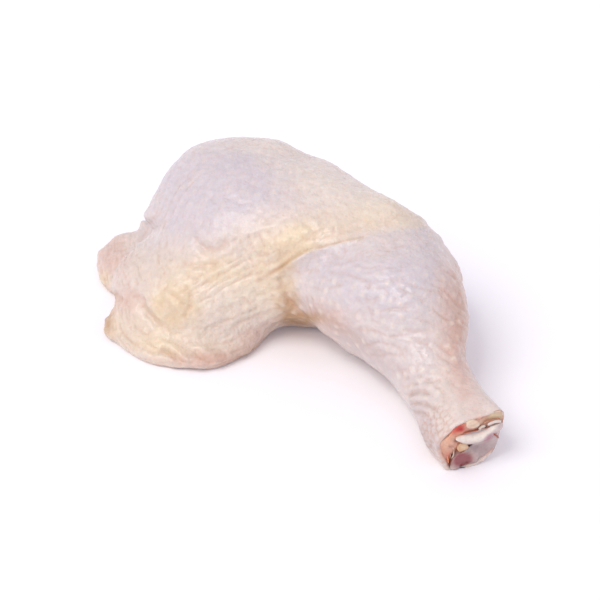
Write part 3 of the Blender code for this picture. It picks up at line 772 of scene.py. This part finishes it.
def cut_piece(name, material, rim, top, dome, deep, ground, coats=(), rise=None, tail=(), root=None):
    """A piece standing in the cut: its rim, across and up, carried along the cut's own axis. The
    cap rises by dome times one minus the share squared, and by rise, a function of the close
    view; then come a round shoulder, a wall down to deep, narrower and round the root's place if
    there is one, and a tail of rings if there is one."""
    rim = curve(rim, AROUND, closed=True)
    middle = rim.mean(0)
    cap = middle + (rim - middle) * CAP_SHARES[:, None, None]
    out = np.repeat((top + dome * (1 - CAP_SHARES**2))[:, None], len(rim), 1)
    if rise is not None:
        flat = from_cut(cap[..., 0], cap[..., 1], out)
        out = out + rise(close_up(flat.reshape(-1, 3)), cap.reshape(-1, 2)).reshape(out.shape)
    rings = [from_cut(cap[..., 0], cap[..., 1], out)]
    edge = out[-1]
    for share, drop in SHOULDER:
        ring = middle + (rim - middle) * share
        rings.append(from_cut(ring[:, 0], ring[:, 1], edge - drop)[None])
    wall = middle + (rim - middle) * WALL_SHARE if root is None else root + (rim - middle) * ROOT_SHARE
    rings.append(from_cut(wall[:, 0], wall[:, 1], np.full(len(rim), deep))[None])
    rings.extend(tail)
    return shown(name, *ringed(name, np.concatenate(rings)), material, ground, coats)


def moist(name, rough, grain_mm, bump_mm, subsurface, coat):
    """A wet tissue that takes its colour from the tone attribute, made uneven by noise of the
    grain's size, with a fine relief of the same grain."""
    material = bpy.data.materials.new(name)
    material.use_nodes = True
    tree = material.node_tree
    shader = tree.nodes["Principled BSDF"]
    tone = node(tree, "ShaderNodeAttribute", attribute_name="tone")
    where = node(tree, "ShaderNodeTexCoord")
    grain = node(
        tree,
        "ShaderNodeTexNoise",
        {"Vector": where.outputs["Object"], "Scale": 1 / (grain_mm * MM), "Detail": 4.0, "Roughness": 0.6},
    )
    uneven = node(
        tree,
        "ShaderNodeMapRange",
        {"Value": grain.outputs["Fac"], "From Min": 0.3, "From Max": 0.7, "To Min": 0.88, "To Max": 1.1},
    )
    tone_inputs = {0: tone.outputs["Color"], "Scale": uneven.outputs[0]}
    colour = node(tree, "ShaderNodeVectorMath", tone_inputs, operation="SCALE")
    bump = node(
        tree, "ShaderNodeBump", {"Height": grain.outputs["Fac"], "Strength": 0.5, "Distance": bump_mm * MM}
    )
    tree.links.new(colour.outputs[0], shader.inputs["Base Color"])
    tree.links.new(bump.outputs[0], shader.inputs["Normal"])
    shader.inputs["Roughness"].default_value = rough
    shader.inputs["IOR"].default_value = 1.4
    shader.inputs["Subsurface Weight"].default_value = subsurface
    shader.inputs["Subsurface Radius"].default_value = (1.0, 0.5, 0.4)
    shader.inputs["Subsurface Scale"].default_value = 0.7 * MM
    shader.inputs["Coat Weight"].default_value = coat
    shader.inputs["Coat Roughness"].default_value = 0.12
    return material


# Raw meat cut with a knife: dark and wet, with a broken sheen on a coarse torn grain.
cut_meat = moist("cut_raw_meat", 0.32, 0.9, 0.25, 0.15, 0.5)

# Spots of the close view: banks of tissue, pits between the fibres, and the joint's place.
TOP_BANK = [(440, 490, 100, 60, -35, 1.0), (560, 450, 130, 50, -12, 0.9)]
LEFT_BANK = [(380, 590, 60, 110, 0, 1.0)]
PITS = [
    (405, 612, 13, 15, 0, 1),
    (440, 642, 12, 14, 0, 1),
    (462, 560, 34, 12, 0, 1),
    (415, 680, 14, 26, 20, 1),
]
UNDER_JOINT = [(690, 620, 150, 90, -30, 1.0), (530, 725, 110, 70, -15, 1.0)]
FLESH_COATS = [
    ("E3AE90", [(390, 590, 80, 110, 0, 1.0), (440, 500, 80, 60, -30, 1.0)]),
    ("DFB8A0", [(600, 430, 130, 44, -12, 1.0), (350, 560, 30, 60, 0, 0.6)]),
    ("E6D2AC", [(765, 365, 80, 40, -10, 1.0)]),
    ("D4452C", [(462, 470, 66, 34, -30, 1.0), (388, 720, 16, 60, 0, 0.8)]),
    ("B80E08", [(486, 472, 30, 22, 0, 1.0)]),
    # Dark red-brown in the pits between the fibres and round the side tendon: dark meat with painted shade.
    (
        "7A3022",
        [
            (462, 560, 34, 12, 0, 1.0),
            (405, 612, 13, 13, 0, 0.9),
            (440, 642, 12, 12, 0, 0.9),
            (565, 635, 26, 20, 0, 0.8),
            (415, 680, 12, 26, 20, 0.9),
        ],
    ),
]

# The rim of the flesh, across and up, lies just inside the skin's cut edge.
CUT_OUTLINE = [
    (-10.4, 5.5), (-6.6, 7.8), (-3.2, 9.5), (0.5, 9.4), (4.0, 8.6), (7.5, 7.8), (11.0, 7.3),
    (13.6, 6.2), (14.4, 4.0), (13.0, 0.4), (11.2, -2.9), (9.0, -6.2), (6.4, -9.0), (3.2, -10.5),
    (-0.5, -10.8), (-4.5, -10.7), (-8.6, -10.2), (-11.2, -8.9), (-11.3, -4.6), (-11.0, 0.5),
]
CUT_MIDDLE = np.array([0.6, -0.9])
FLESH_SHARE = 0.945


def flesh_rise(places, spots):
    """Height of the torn floor: banks of tissue at the top and left, small lumps in two sizes,
    pits, and a lower floor under the joint end."""
    flat = np.c_[spots, spots[:, 0] * 0]
    lumps = waver(flat, 1.5, 81) * 0.35 + waver(flat, 0.8, 82) * 0.25
    banks = 0.7 * blobs(places, TOP_BANK) + 1.5 * blobs(places, LEFT_BANK)
    return banks + lumps * 0.6 - 0.9 * blobs(places, PITS) - 1.4 * blobs(places, UNDER_JOINT)


cut_flesh = cut_piece(
    "cut_flesh",
    cut_meat,
    rim=CUT_MIDDLE + (np.array(CUT_OUTLINE) - CUT_MIDDLE) * FLESH_SHARE,
    top=0.3,
    dome=0.3,
    deep=-1.6,
    ground="B0644C",
    coats=FLESH_COATS,
    rise=flesh_rise,
)

# Shin bone. Its joint end shows in the cut: a white crescent of cartilage above, a lilac saddle
# below it, and a second knuckle whose tip was sliced off; the shaft runs inside the drumstick.

SHAFT_FROM = np.array([2.6, -2.6, -20.0])
KNEE_END = np.array([40.61, 1.96, 26.02])
SHAFT_RADIUS = 3.8
SHAFT_SHARES = (0.0, 0.25, 0.5, 0.75, 1.0)
CONDYLE = [(440, 538), (500, 546), (572, 546), (645, 534), (704, 504), (752, 462), (796, 420)]
KNUCKLE = [(430, 745), (470, 700), (530, 680), (575, 690)]
CONDYLE_HALF, KNUCKLE_HALF = 1.9, 2.4
SLICE = [(500, 716, 64, 48, -12, 1.0)]
FACET = [(705, 524, 56, 26, -35, 1.0)]
SADDLE = [(650, 620, 90, 50, -25, 1.0)]
JOINT_TOP = 1.5
JOINT_RIM = [
    (440, 540), (484, 524), (530, 510), (590, 498), (645, 488), (700, 462), (752, 436), (812, 410),
    (812, 456), (802, 508), (790, 556), (772, 612), (738, 668), (662, 708), (574, 742), (512, 772),
    (450, 786), (410, 790), (400, 764), (416, 716), (446, 684), (478, 664), (520, 670), (562, 652),
    (588, 618), (598, 592), (560, 584), (494, 568), (456, 556),
]
WHITE_CRESCENT = [
    (470, 552, 50, 24, 8, 1.0),
    (560, 548, 90, 38, 0, 1.0),
    (660, 524, 64, 40, -24, 1.0),
    (740, 466, 50, 30, -42, 1.0),
]
JOINT_COATS = [
    ("B39C9A", [(660, 635, 120, 66, -25, 1.0)]),
    ("947A7C", [(600, 612, 60, 26, -20, 0.8), (690, 690, 90, 22, -30, 0.7)]),
    ("EFE2D4", WHITE_CRESCENT),
    ("A8687A", [(712, 538, 54, 20, -38, 1.0)]),
    ("DCC8BC", [(496, 722, 112, 82, -12, 1.0)]),
    ("93464A", [(494, 724, 92, 64, -12, 1.0), (510, 716, 60, 50, -12, 1.0)]),
    # Thin dark brown lines at the joint's left and lower edges: painted shadow where it meets the flesh.
    ("8A5A4C", [(404, 742, 14, 40, 10, 0.9), (480, 792, 120, 9, -18, 0.8), (650, 722, 100, 9, -28, 0.7)]),
]


def joint_rise(places, spots):
    """Relief of the joint end: a half round ridge along the condyle's line, another along the
    knuckle's, flatter at its sliced tip, a dished saddle, and a small facet."""
    _, across = beside(places, CONDYLE)
    ridge = np.sqrt(np.clip(1 - (across / CLOSE_SCALE / CONDYLE_HALF) ** 2, 0, 1))
    _, side = beside(places, KNUCKLE)
    knuckle = np.sqrt(np.clip(1 - (side / CLOSE_SCALE / KNUCKLE_HALF) ** 2, 0, 1))
    knuckle = 1.2 * knuckle * (1 - 0.6 * blobs(places, SLICE))
    return 1.5 * ridge + knuckle - 0.6 * blobs(places, SADDLE) - 0.5 * blobs(places, FACET)


# Joint cartilage, bare and wet: milky and smooth, with small sharp glints.
cartilage = moist("hyaline_cartilage", 0.22, 1.6, 0.06, 0.3, 0.6)

# The shaft's rings are turned as the rim is, so that the joint end runs into it untwisted.
joint_rim = on_cut(JOINT_RIM, JOINT_TOP)
rim_turn = np.arctan2(*(curve(joint_rim, AROUND, closed=True) - joint_rim.mean(0)).T[::-1])
shaft_start = HOCK + SHAFT_FROM @ np.array([WIDE, HIGH, OUT])
shaft_rings = []
for share in SHAFT_SHARES:
    middle = shaft_start + (KNEE_END - shaft_start) * share
    ring = middle + SHAFT_RADIUS * (np.cos(rim_turn)[:, None] * WIDE + np.sin(rim_turn)[:, None] * HIGH)
    shaft_rings.append(ring[None])
joint_head = cut_piece(
    "joint_head",
    cartilage,
    rim=joint_rim,
    top=1.0,
    dome=0.2,
    deep=-5.0,
    ground="C9B8B4",
    coats=JOINT_COATS,
    rise=joint_rise,
    tail=shaft_rings,
)
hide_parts("shin_bone")

# Tendons and sinews. Cream ovals of packed fibre were sliced across with the shank, and white
# bands of sinew wrap over the joint beside them; all of them are fixed in the flesh.

ALONG_STRAND, ROUND_STRAND = 48, 16

# Tendon, sliced across: packed fibre, cream to white, with a satin sheen.
collagen = moist("sliced_tendon", 0.3, 0.7, 0.12, 0.25, 0.45)


def oval_rim(x, y, wide, high, degrees):
    """Twelve places round an oval in the close view."""
    t = np.linspace(0, 2 * np.pi, 12, endpoint=False)
    c, s = np.cos(np.radians(degrees)), np.sin(np.radians(degrees))
    right = x + wide * np.cos(t) * c - high * np.sin(t) * s
    down = y + wide * np.cos(t) * s + high * np.sin(t) * c
    return np.stack([right, down], 1)


def strand(name, rows, out, wide, thick, ground):
    """A strip of fibre lying in the cut: an oval profile, wide across and thick outwards in mm,
    carried along a curve through places of the close view, and drawn in at both ends."""
    path = curve(np.c_[on_cut(rows, out), np.full(len(rows), out)], ALONG_STRAND)
    ahead = np.gradient(path[:, :2], axis=0)
    ahead /= np.linalg.norm(ahead, axis=1, keepdims=True)
    share = np.linspace(-1, 1, len(path))[:, None]
    taper = np.sqrt(np.clip(1 - share**6, 0.02, 1))
    angle = np.linspace(0, 2 * np.pi, ROUND_STRAND, endpoint=False)[None]
    sideways, outwards = wide / 2 * taper * np.cos(angle), thick / 2 * taper * np.sin(angle)
    across = path[:, :1] - ahead[:, 1:] * sideways
    up = path[:, 1:2] + ahead[:, :1] * sideways
    rings = from_cut(across, up, path[:, 2:] + outwards)
    return shown(name, *ringed(name, rings), collagen, ground)


# Each tendon's oval in the close view, how far its face stands out, the middle of its root across
# and up, its colour, and the coats on it.
TENDON_DOME, TENDON_DEEP = 0.45, -6.0
TENDONS = {
    "front_tendon": (
        (585, 440, 54, 27, -10), 1.7, (2.9, 3.6), "E6CDB4", [("D3AE8C", [(583, 446, 26, 10, -10, 0.6)])],
    ),
    "back_tendon": (
        (503, 624, 46, 38, -5), 1.2, (-4.4, -1.8), "DDB48C", [("E9D0AC", [(506, 614, 24, 18, 0, 0.9)])],
    ),
    "side_tendon": ((398, 606, 13, 13, 0), 0.6, (-7.4, 1.3), "EBD8C4", []),
}
for cad_node, (oval, top, root, ground, coats) in TENDONS.items():
    tendon = cut_piece(
        cad_node + "_end",
        collagen,
        rim=on_cut(oval_rim(*oval), top),
        top=top,
        dome=TENDON_DOME,
        deep=TENDON_DEEP,
        ground=ground,
        coats=coats,
        root=np.array(root),
    )
    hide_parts(cad_node)

# Each strand's line in the close view, how far it stands out, its width and thickness, and colour.
MEMBRANE_LINE = [
    (462, 556), (480, 534), (520, 506), (570, 492), (622, 480), (648, 460), (690, 462), (740, 444),
]
SINEWS = {
    "sinew_band": ([(700, 440), (740, 420), (784, 410), (806, 416)], 1.8, 1.1, 0.9, "DFD2C8"),
    "sinew_strand": ([(632, 474), (652, 456), (682, 446)], 1.6, 1.0, 0.9, "DCCBBC"),
    "membrane_edge": (MEMBRANE_LINE, 1.4, 0.35, 0.7, "B06A50"),
    "membrane_fold": ([(664, 430), (700, 410), (750, 396), (800, 388)], 1.2, 0.35, 0.7, "B88266"),
    "skin_tag": ([(752, 514), (772, 526), (788, 544)], 2.4, 0.7, 0.5, "A4563C"),
    "fat_thread": ([(362, 636), (374, 668), (384, 712), (386, 744)], 0.9, 0.6, 0.6, "D98F66"),
    "wall_fibre": ([(418, 610), (428, 640), (428, 676), (414, 708)], 0.9, 0.5, 0.5, "E8D3C0"),
    "wall_fibre_low": ([(392, 640), (402, 668), (400, 706)], 0.7, 0.4, 0.4, "E2BFA2"),
}
for name, (rows, out, wide, thick, ground) in SINEWS.items():
    strand(name, rows, out, wide, thick, ground)

# Table. A white board, painted matt and lit so that it shows as plain white, with soft shadows on
# it. A faint lilac glow lightens the shadows, as light passed on by white walls does.

BOARD_HALF = 4000 * MM
table = bpy.data.meshes.new("table")
corners = [(-1, -1), (1, -1), (1, 1), (-1, 1)]
table.from_pydata([(x * BOARD_HALF, y * BOARD_HALF, 0) for x, y in corners], [], [(0, 1, 2, 3)])
white_board = bpy.data.materials.new("matt_white_board")
white_board.use_nodes = True
board = white_board.node_tree.nodes["Principled BSDF"]
board.inputs["Base Color"].default_value = linear("FAF9FA")
board.inputs["Roughness"].default_value = 0.9
board.inputs["Specular IOR Level"].default_value = 0.1
board.inputs["Emission Color"].default_value = linear("EDE7FF")
board.inputs["Emission Strength"].default_value = 0.07
table.materials.append(white_board)
floor = bpy.data.objects.new("table", table)
bpy.context.scene.collection.objects.link(floor)

# Light. A very large soft lamp from the upper left, a weak smaller one for the glints, and pale,
# slightly lilac air all round. A lamp's row: energy, width in degrees, colour, and direction.

LAMPS = {
    "softbox": (1.22, 36, (1.0, 0.985, 0.95), (-0.47, -0.36, 0.81)),
    "glint": (0.16, 9, (1.0, 1.0, 1.0), (-0.25, -0.45, 0.86)),
}
AIR_COLOUR, AIR_STRENGTH = (0.93, 0.9, 1.0, 1), 0.76
for name, (energy, width, tint, towards_lamp) in LAMPS.items():
    light = bpy.data.lights.new(name, "SUN")
    light.energy = energy
    light.angle = np.radians(width)
    light.color = tint
    lamp = bpy.data.objects.new(name, light)
    lamp.rotation_euler = Vector(towards_lamp).to_track_quat("Z", "Y").to_euler()
    bpy.context.scene.collection.objects.link(lamp)
air = bpy.data.worlds.new("air")
air.use_nodes = True
air.node_tree.nodes["Background"].inputs["Color"].default_value = AIR_COLOUR
air.node_tree.nodes["Background"].inputs["Strength"].default_value = AIR_STRENGTH
bpy.context.scene.world = air
bpy.context.scene.view_settings.view_transform = "Standard"
